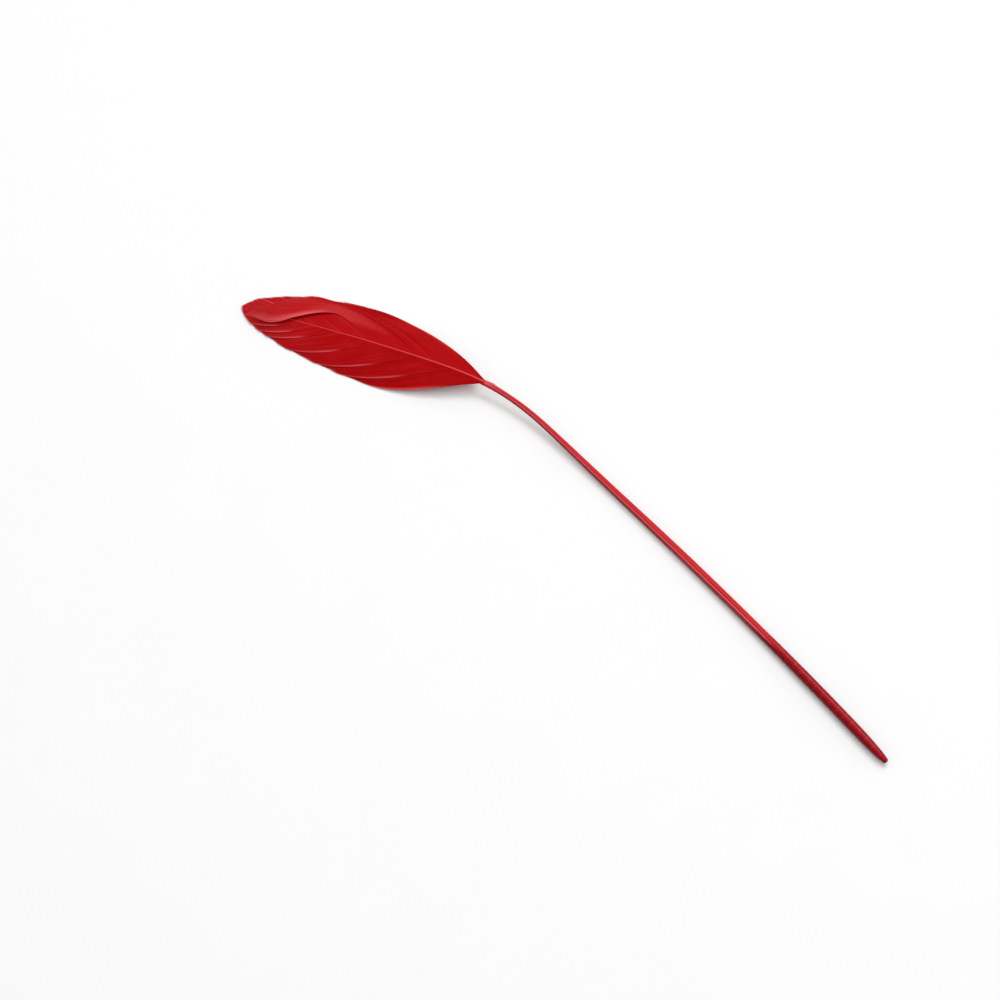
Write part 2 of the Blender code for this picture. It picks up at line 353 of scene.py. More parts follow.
def shaft_ring(s, share=1.0, fine=1.0):
    """The corners of the shaft's section at s, square to the shaft, with its fine relief."""
    centre, _, side, up = shaft_frame(s)
    width, depth, squareness = half_width(s) * share, half_depth(s) * share, squareness_at(s)
    first = math.pi / SHAFT_SIDES
    widest = outline(squareness, first)[0]
    ring = []
    for i in range(SHAFT_SIDES):
        angle = first + 2 * math.pi * i / SHAFT_SIDES
        y, z = (value / widest for value in outline(squareness, angle))
        uneven = noise.noise(Vector((s * WOBBLE_GRAIN, math.cos(angle), math.sin(angle)))) * (z > 0)
        out = 1 + fine * (WOBBLE * uneven + scar_relief(s, angle) / width)
        deep = z * out + fine * groove(s, y, z)
        ring.append(centre + side * y * out * width + up * deep * depth)
    return ring


def steps(first, last, step):
    """Places from first up to, but without, last."""
    count = max(1, round((last - first) / step))
    return [mix(first, last, i / count) for i in range(count)]


def shaft_stations():
    """Where the sections stand: closest together along the stripped stretch."""
    end = [ROUNDED_LENGTH * (i / ROUNDED_STEPS) ** 2 for i in range(ROUNDED_STEPS)]
    return [
        *end,
        *steps(ROUNDED_LENGTH, QUILL_END, QUILL_STEP),
        *steps(QUILL_END, SCAR_END, STRIPPED_STEP),
        *steps(SCAR_END, SHAFT_END, VANED_STEP),
        SHAFT_END,
    ]


class Skin:
    """Points, faces and the faces' UVs, gathered piece by piece into one mesh.

    The UVs called place say where a corner is, and those called tone how much lighter and how much deeper its
    colour is. On the barbs both are painted light: painted highlights and painted shade.
    """

    def __init__(self):
        self.points, self.faces, self.places, self.tones = [], [], [], []

    def add_face(self, corners, places, tones):
        self.faces.append(corners)
        self.places += places
        self.tones += tones

    def add_tube(self, rings, places, tones):
        """A closed tube through the rings, with flat ends.

        places has one more column than a ring has corners, and tones has one pair for each ring.
        """
        base, sides = len(self.points), len(rings[0])
        for ring in rings:
            self.points += ring
        for r in range(len(rings) - 1):
            for i in range(sides):
                j = (i + 1) % sides
                a, b = base + r * sides, base + (r + 1) * sides
                corners = (a + i, a + j, b + j, b + i)
                uvs = [places[r][i], places[r][i + 1], places[r + 1][i + 1], places[r + 1][i]]
                self.add_face(corners, uvs, [tones[r], tones[r], tones[r + 1], tones[r + 1]])
        last = base + (len(rings) - 1) * sides
        near_end, far_end = [base + i for i in reversed(range(sides))], [last + i for i in range(sides)]
        self.add_face(near_end, places[0][sides - 1::-1], [tones[0]] * sides)
        self.add_face(far_end, places[-1][:sides], [tones[-1]] * sides)

    def as_piece(self, name, material, sharp_above):
        """The finished object, riding on the body in place of the solid."""
        mesh = bpy.data.meshes.new(name)
        mesh.from_pydata(self.points, [], self.faces)
        for layer_name, uvs in (("place", self.places), ("tone", self.tones)):
            layer = mesh.uv_layers.new(name=layer_name)
            layer.data.foreach_set("uv", [value for uv in uvs for value in uv])
        mesh.materials.append(material)
        mesh.shade_smooth()
        mesh.set_sharp_from_angle(angle=sharp_above)
        mesh.validate()
        piece = bpy.data.objects.new(name, mesh)
        bpy.context.scene.collection.objects.link(piece)
        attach(piece, BODY)
        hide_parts(NODE)
        return piece


def make_shaft(material):
    """Quill and rachis in one, with the pit in the quill's end. UV: around it, and along it."""
    pit = PIT_FLOOR_SHARE * half_width(0) / half_width(PIT_DEPTH)
    rings = [shaft_ring(PIT_DEPTH, pit, 0), shaft_ring(0.0, PIT_MOUTH_SHARE, 0)]
    stations = shaft_stations()
    rings += [shaft_ring(s) for s in stations]
    places, tones = [], []
    for s in [0.0, 0.0, *stations]:
        places.append([(i / SHAFT_SIDES, s / FEATHER_LENGTH) for i in range(SHAFT_SIDES + 1)])
        # How far the paler top line, partly painted highlight, has grown in
        tones.append((smooth((s - VANE_START + TOP_LINE_AND_HIGHLIGHT_GROWS_OVER) / TOP_LINE_AND_HIGHLIGHT_GROWS_OVER), 0.0))
    skin = Skin()
    skin.add_tube(rings, places, tones)
    return skin.as_piece("shaft", material, SHAFT_SHARP_ABOVE)


def barb_length(side, foot):
    return mix(LONGEST_BARB[side], TERMINAL_BARB, (foot / LAST_FOOT) ** BARB_TAPER[side])


def in_flap(side, first):
    """Whether the group that begins at the lock called first is the one that has slipped."""
    return side == RIGHT and first == FLAP_START


def slipped(side, first, lock):
    """How far a lock has slipped inwards: 0 at the flap's near side, 1 or a little more at its far side."""
    if not in_flap(side, first):
        return 0.0
    return ((lock - first) / (FLAP_END - FLAP_START)) ** FLAP_CURL


def beside_flap(side, last):
    """Whether the group that ends at the lock called last is the one that the flap hangs on to."""
    return side == RIGHT and last == FLAP_START


def opened_at(side, last, share):
    """How far the split beyond the lock called last has opened. The one beside the flap stays closed."""
    if beside_flap(side, last):
        return 0.0
    return smooth((share - SPLIT_ROOT[side]) / (1 - SPLIT_ROOT[side]))


def lean(along):
    return LEAN * smooth((along - LEAN_FROM) / (LEAN_TO - LEAN_FROM))


def barb_line(side, foot, length, slip):
    """One barb in plan, as (along the rachis, out from it). It curves round towards the vane's tip."""
    angle = BARB_ANGLE[side] * (1 - (foot / LAST_FOOT) ** BARB_ANGLE_TAPER[side])
    closing = smooth((LAST_FOOT - foot) / TIP_CLOSES_OVER)
    along, out = foot, ROOT_INSIDE * half_width(VANE_START + foot) * closing
    line = [(along, out)]
    for step in range(BARB_STEPS):
        direction = angle * (1 - ((step + 0.5) / BARB_STEPS) ** 2)
        along += length / BARB_STEPS * math.cos(direction)
        out += length / BARB_STEPS * math.sin(direction)
        line.append((along, out - slip * (lean(along) - lean(foot))))
    return line


def vane_height(along, out):
    """Height of the vane's middle surface, which leaves the rachis high up and curves down to the edges."""
    s = VANE_START + along
    attached_at = mix(SHOULDER_AT, ATTACHED_AT, smooth(abs(out) / SHOULDER_WIDTH))
    root = shaft_height(s) + attached_at * half_depth(min(s, SHAFT_END))
    return root - CAMBER * (abs(out) / VANE_HALF_WIDTH) ** 2


def on_vane(side, along, out, lift=0.0):
    """The point of the vane at this place, raised by lift, and never below the surface it lies on."""
    point, direction = spine_at(VANE_START + along)
    across = Vector((-direction.y, direction.x)) * side * out
    height = vane_height(along, out) + lift - VANE_THICKNESS / 2
    landed = (height + math.hypot(height, SOFT_LANDING)) / 2
    return Vector((point.x + across.x, point.y + across.y, landed + VANE_THICKNESS / 2))


def vane_normal(side, along, out):
    """The vane's upward direction at this place, from its overall form alone."""
    forward = on_vane(side, along + NORMAL_REACH, out) - on_vane(side, along - NORMAL_REACH, out)
    outward = on_vane(side, along, out + NORMAL_REACH) - on_vane(side, along, out - NORMAL_REACH)
    return (forward.cross(outward) * side).normalized()


def groups_of(side):
    """The vane's groups of locks between one split and the next, as (first lock, last lock)."""
    cuts = [0, *SPLITS[side], LOCKS]
    return list(zip(cuts, cuts[1:]))


class Character:
    """The chance differences between one lock, or one barb, and the next."""

    def __init__(self, side):
        self.side = side
        chance = random.Random(SEED * 10 + side)
        self.lock_relief = [chance.uniform(*LOCK_RELIEF_SHARES) * LOCK_RELIEF for _ in range(LOCKS + 1)]
        self.lock_length = [1 + chance.uniform(-1, 1) * LOCK_LENGTH_VARIATION for _ in range(LOCKS + 2)]
        self.chance = chance

    def barb(self, lock):
        """This barb's length share, lift and drift."""
        number = int(lock)
        between = mix(self.lock_length[number], self.lock_length[number + 1], smooth(lock - number))
        length = between * (1 + self.chance.uniform(-1, 1) * BARB_LENGTH_VARIATION)
        lift = self.chance.uniform(-1, 1) * BARB_LIFT_VARIATION
        drift = 0.0
        if self.chance.random() < STRAY_SHARE:
            drift = self.chance.uniform(*STRAY_DRIFT_SHARES) * STRAY_DRIFT
            lift += self.chance.uniform(0, 1) * STRAY_LIFT
            length *= 1 + STRAY_LENGTHENING
        return length, lift, drift

    def relief(self, lock, share):
        """How far a lock's middle stands up between its sides, growing away from the rachis."""
        number = min(int(lock), LOCKS)
        wave = 1 - math.cos(2 * math.pi * (lock - number))
        return self.lock_relief[number] * (wave - 1) * smooth(share / RELIEF_GROWS_OVER)

    def clumped(self, lock, share, first, last):
        """Barbs of a lock draw together towards their ends, which opens fine gaps between them."""
        coarse, fine = (
            noise.noise(Vector((lock * per_lock, share * per_barb, self.side * apart)))
            for per_lock, per_barb, apart in (COARSE_CLUMPS, FINE_CLUMPS)
        )
        drawn = coarse + FINE_CLUMPING * fine
        inside = smooth((lock - first) / CLUMPS_GROW_OVER) * smooth((last - lock) / CLUMPS_GROW_OVER)
        return lock + CLUMPING * drawn * smooth(share) * inside


def barb_centres(side, first, last, lock, character):
    """A barb's middle line, as plan places on the vane and how far each is lifted.

    Each group's far side lies under the next group. Only the flap's lies over it, and rises.
    """
    uneven, own_lift, drift = character.barb(lock)
    foot, middle = (LAST_FOOT * n / LOCKS for n in (lock, (first + last) / 2))
    slip, middle_slip = (slipped(side, first, n) for n in (lock, (first + last) / 2))
    across = (lock - first) / (last - first)
    length = barb_length(side, foot) * uneven * (1 + GROUP_END_STEP[side] * (0.5 - across))
    if in_flap(side, first):
        length *= 1 + FLAP_LENGTHENING * across
    own = barb_line(side, foot, length, slip)
    centre = barb_line(side, middle, barb_length(side, middle), middle_slip)
    half_lock = LAST_FOOT / LOCKS * math.sin(BARB_ANGLE[side]) / 2
    lip = LIP_HEIGHT * (1 - smooth((lock - first) / LIP_WIDTH)) * (first > 0) * (not in_flap(side, first))
    joined = beside_flap(side, last)
    places = []
    for step in range(BARB_STEPS + 1):
        share = step / BARB_STEPS
        opened = opened_at(side, last, share)
        pinch = PINCH[side] * opened * (0 < lock < LOCKS) * max(0.0, 1 - slip)
        if in_flap(side, first):
            pinch *= across
        along, out = (mix(a, b, pinch) for a, b in zip(own[step], centre[step]))
        out -= (character.clumped(lock, share, first, last) - lock) * half_lock
        out += drift * share**3
        down = (SHINGLE * (not joined) + SPLIT_STEP * opened) * smooth(share / RELIEF_GROWS_OVER)
        if in_flap(side, first):
            risen = smooth((share - FLAP_RISES_FROM) / (FLAP_LIFTED_BY - FLAP_RISES_FROM))
            down = -down - FLAP_LIFT * risen
        else:
            out = max(out, 0.0)
        lift = character.relief(lock, share) - down * across + lip * opened
        places.append((along, out, lift + own_lift * smooth(share / LIFT_GROWS_OVER)))
    return places


def barb_tones(side, first, last, lock):
    """A barb's painted light along it: painted highlights at its tip and at its group's free edges, painted
    sheen over the flap, and painted shade where it lies under the next group.
    """
    flap = in_flap(side, first)
    into = last + OVERLAP - lock if flap else lock - first
    # Painted highlight along a group's free edge
    edge_highlight = 1 - smooth(into * BARBS_PER_LOCK / (EDGE_HIGHLIGHT_BARBS if first else RIM_HIGHLIGHT_BARBS))
    merged = flap or beside_flap(side, last) or last == LOCKS
    # Painted shade under the next group's free edge
    under = 0.0 if merged else smooth((lock - last + SHADED_UNDER) / SHADED_UNDER)
    # Painted sheen over the flap
    flap_sheen = FLAP_PAINTED_SHEEN * smooth((lock - first) / (last - first) / FLAP_PALES_OVER) * flap
    rises_from, rises_over = (SPLIT_ROOT[side], LIP_PALES_OVER) if first else (RIM_PALE_FROM, RIM_PALES_OVER)
    tones = []
    for step in range(BARB_STEPS + 1):
        share = step / BARB_STEPS
        opened = opened_at(side, last, share) if first else 1.0
        # Painted highlight at the barb tips
        tip = smooth((share - TIP_HIGHLIGHT_FROM) / (1 - TIP_HIGHLIGHT_FROM))
        lip = edge_highlight * smooth((share - rises_from) / rises_over)
        if first:
            lip *= mix(1.0, LIP_PALE_AT_TIP, smooth((share - LIP_PALEST_AT) / (1 - LIP_PALEST_AT)))
        turned = smooth((share - HAZE_RISES_FROM) / HAZE_RISES_OVER)
        turned *= mix(1.0, HAZE_AT_TIP, smooth((share - HAZE_FALLS_FROM) / HAZE_FALLS_OVER))
        highlight_and_paleness = lip + (FLAP_TIP_PAINTED_HIGHLIGHT if flap else TIP_PAINTED_HIGHLIGHT) * tip + flap_sheen * turned
        tones.append((min(1.0, highlight_and_paleness), under * opened))
    return tones


def barb_rings(side, before, places, after):
    """The barb's sections: two thin edges, a rib above and a keel below, tilted like tiles.

    All stand square to the barb but the one at its root, which runs along the rachis.
    """
    points, earlier, later = ([on_vane(side, *place) for place in line] for line in (places, before, after))
    rings = []
    for step, (point, place) in enumerate(zip(points, places)):
        ahead, behind = points[min(step + 1, BARB_STEPS)], points[max(step - 1, 0)]
        tangent = (ahead - behind).normalized()
        up = vane_normal(side, place[0], place[1])
        distal = (up.cross(tangent) * -side).normalized()
        gap = (later[step] - earlier[step]) / 2
        if step == 0:
            distal = (gap - up * gap.dot(up)).normalized()
        else:
            gap -= tangent * gap.dot(tangent)
        width, rise = gap.dot(distal), gap.dot(up)
        lean_up = 0.0
        if width > BARB_HALF_WIDTHS[0] / 2:
            lean_up = min(STEEPEST_LEAN, max(-STEEPEST_LEAN, rise / width))
        sideways = (distal + up * (lean_up - BARB_TILT)).normalized()
        upward = (tangent.cross(sideways) * -side).normalized()
        thin = mix(1.0, BARB_TIP_SHARE, smooth((step / BARB_STEPS - BARB_TIP_START) / (1 - BARB_TIP_START)))
        half = min(max(width * BARB_OVERLAP, BARB_HALF_WIDTHS[0]), BARB_HALF_WIDTHS[1]) * thin
        rib = point + sideways * RIB_AT * half
        ring = [
            point - sideways * half,
            rib - upward * KEEL_DEPTH * thin,
            point + sideways * half,
            rib + upward * RIB_HEIGHT * thin,
        ]
        rings.append(ring if side == RIGHT else ring[::-1])
    return rings


def make_vane_half(side, name, material):
    """Every barb of one half of the vane. UV: which barb it is, and how far along it."""
    skin, character = Skin(), Character(side)
    for first, last in groups_of(side):
        reach = 0.0 if last == LOCKS or beside_flap(side, last) else OVERLAP
        count = round((last - first + reach) * BARBS_PER_LOCK) + 1
        locks = [first + n / BARBS_PER_LOCK for n in range(count)]
        lines = [barb_centres(side, first, last, lock, character) for lock in locks]
        for n, (lock, places) in enumerate(zip(locks, lines)):
            before, after = lines[max(n - 1, 0)], lines[min(n + 1, count - 1)]
            rings = barb_rings(side, before, places, after)
            across = [(lock + off / BARBS_PER_LOCK) / LOCKS for off in BARB_UV_CORNERS]
            uvs = [[(u, step / BARB_STEPS) for u in across] for step in range(BARB_STEPS + 1)]
            skin.add_tube(rings, uvs, barb_tones(side, first, last, lock))
    return skin.as_piece(name, material, BARB_SHARP_ABOVE)


def make_stumps(material):
    """The stumps along both sides of the stripped rachis, and the longer remnants under the vane."""
    skin, chance = Skin(), random.Random(SEED)
    for side in (LEFT, RIGHT):
        for s in steps(STUMPS_FROM, STUMPS_TO, SCAR_PITCH):
            near_vane = smooth((s - REMNANTS_FROM) / (VANE_START - REMNANTS_FROM))
            remnant = REMNANT_LENGTH * near_vane * chance.uniform(*REMNANT_LENGTH_SHARES)
            length = STUMP_LENGTH * chance.uniform(*STUMP_LENGTH_SHARES) + remnant
            radius = mix(STUMP_RADIUS, REMNANT_RADIUS, near_vane) * chance.uniform(*STUMP_RADIUS_SHARES)
            angle = mix(STUMP_ANGLE, REMNANT_ANGLE, near_vane) * chance.uniform(*STUMP_ANGLE_SHARES)
            start = s + chance.uniform(-STUMP_DRIFT, STUMP_DRIFT) * SCAR_PITCH
            add_stump(skin, side, start, length, radius, angle)
    return skin.as_piece("barb_stumps", material, BARB_SHARP_ABOVE)


def add_stump(skin, side, s, length, radius, angle):
    """One stump: a short flat spike that starts inside the shaft and leans towards the tip."""
    squareness = squareness_at(s)
    surface = half_width(s) * (1 - STUMP_HEIGHT ** (2 / squareness)) ** (squareness / 2)
    start_out = surface - STUMP_SUNK
    rings, uvs = [], []
    for i in range(STUMP_STEPS + 1):
        share = i / STUMP_STEPS
        centre, _, sideways, up = shaft_frame(s + length * share * math.cos(angle))
        out = start_out + length * math.sin(angle) * share * (1 - STUMP_CURL * share)
        height = half_depth(s) * STUMP_HEIGHT - STUMP_DROOP * (out - start_out)
        middle = centre + sideways * side * out + up * height
        wide = radius * mix(1.0, STUMP_TIP_SHARE, share**STUMP_TAPER_POWER)
        thick = wide * STUMP_FLATNESS
        corners = [(-wide, 0.0), (0.0, thick), (wide, 0.0), (0.0, -thick)]
        rings.append([middle + sideways * a * side + up * b for a, b in corners])
        uvs.append([(s * STUMP_UV_ALONG_SHAFT + n * STUMP_UV_AROUND, share) for n in range(5)])
    if side == RIGHT:
        rings = [ring[::-1] for ring in rings]
    skin.add_tube(rings, uvs, [(STUMP_PALENESS, 0.0)] * len(rings))


class Nodes:
    """The nodes of a material or of the world, with short ways to add and join them."""

    def __init__(self, owner, shader="Principled BSDF"):
        self.owner = owner
        owner.use_nodes = True
        self.tree = owner.node_tree
        self.shader = self.tree.nodes[shader]

    def add(self, kind, inputs=(), **settings):
        node = self.tree.nodes.new(kind)
        for name, value in settings.items():
            setattr(node, name, value)
        for name, value in dict(inputs).items():
            self.put(node, name, value)
        return node

    def put(self, node, name, value):
        """Sets an input to a value, or links it to another node's output."""
        if isinstance(value, bpy.types.NodeSocket):
            self.tree.links.new(value, node.inputs[name])
        else:
            node.inputs[name].default_value = value

    def uv(self, name):
        return self.add("ShaderNodeUVMap", uv_map=name).outputs["UV"]

    def noise(self, vector, scale, stretch=(1, 1, 1), detail=3.0, roughness=0.55):
        mapping = self.add("ShaderNodeMapping", {"Vector": vector, "Scale": stretch})
        inputs = {"Vector": mapping.outputs[0], "Scale": scale, "Detail": detail, "Roughness": roughness}
        return self.add("ShaderNodeTexNoise", inputs).outputs["Fac"]

    def maths(self, operation, a, b=0.0, c=0.0):
        node = self.add("ShaderNodeMath", operation=operation)
        for i, value in enumerate((a, b, c)):
            self.put(node, i, value)
        return node.outputs[0]

    def spread(self, value, low, high, to_low=0.0, to_high=1.0, how="SMOOTHSTEP"):
        inputs = {"Value": value, "From Min": low, "From Max": high, "To Min": to_low, "To Max": to_high}
        return self.add("ShaderNodeMapRange", inputs, interpolation_type=how).outputs[0]

    def blend(self, share, a, b):
        node = self.add("ShaderNodeMix", data_type="RGBA")
        for name, value in (("Factor_Float", share), ("A_Color", a), ("B_Color", b)):
            socket = next(s for s in node.inputs if s.identifier == name)
            if isinstance(value, bpy.types.NodeSocket):
                self.tree.links.new(value, socket)
            else:
                socket.default_value = value
        return next(s for s in node.outputs if s.identifier == "Result_Color")

    def bump(self, height, distance, strength=1.0, normal=None):
        node = self.add("ShaderNodeBump", {"Height": height, "Distance": distance, "Strength": strength})
        if normal is not None:
            self.put(node, "Normal", normal)
        return node.outputs[0]


DEEP_RED = (0.310, 0.0004, 0.0014, 1.0)
DYED_RED = (0.415, 0.0009, 0.0024, 1.0)
PALE_RED = (0.450, 0.0160, 0.0210, 1.0)
# Pink of the painted highlights on the barbs, and of the real torn scars and stumps
HIGHLIGHT_AND_SCAR_PINK = (0.680, 0.0800, 0.0880, 1.0)
# The colour of the painted shade under the barb groups
PAINTED_SHADE_RED = (0.200, 0.0003, 0.0010, 1.0)
# The rachis's paler top line in the vane, partly painted highlight
RACHIS_LINE_AND_HIGHLIGHT = (0.660, 0.0500, 0.0560, 1.0)
BRIGHT_RED = (0.460, 0.0012, 0.0040, 1.0)
# The rachis's lighter top, partly real pith and partly painted light; also the real paler growth rings of the
# quill
RACHIS_TOP = (0.600, 0.0100, 0.0170, 1.0)
RACHIS_SIDE_AND_SHADE = (0.200, 0.0005, 0.0040, 1.0)
# Pink of the painted highlight along the rachis's corners
CORNER_HIGHLIGHT_PINK = (0.800, 0.2200, 0.2700, 1.0)
CRIMSON = (0.300, 0.0010, 0.0060, 1.0)
# Colour of the painted shade down the quill's sides
SHADED_SIDE_CRIMSON = (0.130, 0.0003, 0.0030, 1.0)
SHEEN_PINK = (1.0, 0.45, 0.48, 1.0)
FLOOR_WHITES = (0.86, 0.86, 0.86, 1), (0.88, 0.88, 0.88, 1)

# The range of a noise in which most of its values lie
MIDDLE_OF_NOISE = 0.3, 0.7

# The barbs' colour: a tone made of streaks, bands and patches, which rises along each barb and up the vane
STREAKS_PER_VANE, STREAKS_PER_BARB = BARBS_PER_LOCK * LOCKS * 0.6, 1.6
BANDS_PER_VANE, BANDS_PER_BARB = LOCKS * 1.3, 1.1
PATCHES_PER_METRE = 75.0
STREAKS_IN_TONE, BANDS_IN_TONE, PATCHES_IN_TONE = 0.45, 0.35, 0.25
ALONG_IN_TONE, UP_THE_VANE_IN_TONE = 0.08, 0.16
TONES_OF_DYED_RED = 0.34, 0.68
TONES_OF_PALE_RED = 0.56, 0.88
MOST_PALE_RED, MOST_HIGHLIGHT_AND_PALENESS, MOST_PAINTED_SHADE = 0.8, 0.95, 0.5
BARB_ROUGHNESS = 0.46, 0.60
BARBULES_PER_VANE, BARBULES_PER_BARB = BARBS_PER_LOCK * LOCKS * 3, 900
BARBULE_HEIGHT = 0.000010

# The shaft's colour. Places around it are parts of a turn, and from_top is how far a place is from its top
FIBRES_AROUND, FIBRES_ALONG = 46, 16
CLOUDS_AROUND, CLOUDS_ALONG = 3, 60
TOP = 0.25
QUILL_END_UNEVEN, QUILL_END_POINTED = 0.05, 0.20
RACHIS_COLOUR_FROM = QUILL_END / FEATHER_LENGTH - 0.055
RACHIS_COLOURS_OVER = 0.045
# The rachis's lighter top and deeper sides: partly the real pith under the top, partly painted light and
# painted shade
TOP_COLOUR_AND_LIGHT = 0.105, 0.150
# Painted highlight: a thin pink line along each corner between the rachis's top and sides
CORNER_AT = 0.108
CORNER_HIGHLIGHT_WIDTHS, CORNER_HIGHLIGHT_STRENGTH = (0.008, 0.024), 0.85
TORN_AROUND, TORN_ALONG = 20, 700
SCAR_COLOUR_AT = TOP - SCAR_ANGLE / (2 * math.pi)
SCAR_COLOUR = 0.022, 0.045
SCAR_COLOUR_ENDS = VANE_START / FEATHER_LENGTH, 0.69
SCAR_PALENESS = 0.10, 0.60
RINGS_UNEVEN, RINGS_ALONG = 6.0, 520.0
RING_PALENESS = 0.30
# Painted shade down the quill's sides
QUILL_SIDE, QUILL_SIDE_PAINTED_SHADE = (0.07, 0.22), 0.85
SHAFT_ROUGHNESS = 0.12, 0.20
RACHIS_DULLER_BY = 0.18
FIBRE_HEIGHT = 0.00002


def barb_material():
    """Dyed barbs: matte satin, streaked along each barb, with painted highlights on free edges and tips, and
    painted shade where groups overlap.
    """
    nodes = Nodes(bpy.data.materials.new("dyed_barbs"))
    uv = nodes.uv("place")
    tone_parts = nodes.add("ShaderNodeSeparateXYZ", {"Vector": nodes.uv("tone")})
    highlight_and_paleness, painted_shade = tone_parts.outputs["X"], tone_parts.outputs["Y"]
    place = nodes.add("ShaderNodeTexCoord").outputs["Object"]
    streaks = nodes.noise(uv, 1.0, (STREAKS_PER_VANE, STREAKS_PER_BARB, 1))
    bands = nodes.noise(uv, 1.0, (BANDS_PER_VANE, BANDS_PER_BARB, 1), detail=2.0)
    patches = nodes.noise(place, PATCHES_PER_METRE, detail=4.0)
    uv_parts = nodes.add("ShaderNodeSeparateXYZ", {"Vector": uv})
    up_the_vane, along = uv_parts.outputs["X"], uv_parts.outputs["Y"]
    tone = nodes.maths("MULTIPLY", bands, BANDS_IN_TONE)
    tone = nodes.maths("MULTIPLY_ADD", streaks, STREAKS_IN_TONE, tone)
    tone = nodes.maths("MULTIPLY_ADD", patches, PATCHES_IN_TONE, tone)
    tone = nodes.maths("MULTIPLY_ADD", along, ALONG_IN_TONE, tone)
    tone = nodes.maths("MULTIPLY_ADD", up_the_vane, UP_THE_VANE_IN_TONE, tone)
    red = nodes.blend(nodes.spread(tone, *TONES_OF_DYED_RED), DEEP_RED, DYED_RED)
    red = nodes.blend(nodes.spread(tone, *TONES_OF_PALE_RED, 0.0, MOST_PALE_RED), red, PALE_RED)
    # Painted highlight on lips, rim and tips, and painted sheen on the flap; on the stumps a real paleness
    red = nodes.blend(nodes.maths("MULTIPLY", highlight_and_paleness, MOST_HIGHLIGHT_AND_PALENESS), red, HIGHLIGHT_AND_SCAR_PINK)
    # Painted shade where a group's barbs lie under the next group
    red = nodes.blend(nodes.maths("MULTIPLY", painted_shade, MOST_PAINTED_SHADE), red, PAINTED_SHADE_RED)
    nodes.put(nodes.shader, "Base Color", red)
    nodes.put(nodes.shader, "Roughness", nodes.spread(streaks, *MIDDLE_OF_NOISE, *BARB_ROUGHNESS))
    barbules = nodes.noise(uv, 1.0, (BARBULES_PER_VANE, BARBULES_PER_BARB, 1), detail=1.0)
    nodes.put(nodes.shader, "Normal", nodes.bump(barbules, BARBULE_HEIGHT, 0.4))
    nodes.put(nodes.shader, "Specular IOR Level", 0.04)
    nodes.put(nodes.shader, "Sheen Weight", 0.015)
    nodes.put(nodes.shader, "Sheen Roughness", 0.35)
    nodes.put(nodes.shader, "Sheen Tint", SHEEN_PINK)
    return nodes.owner


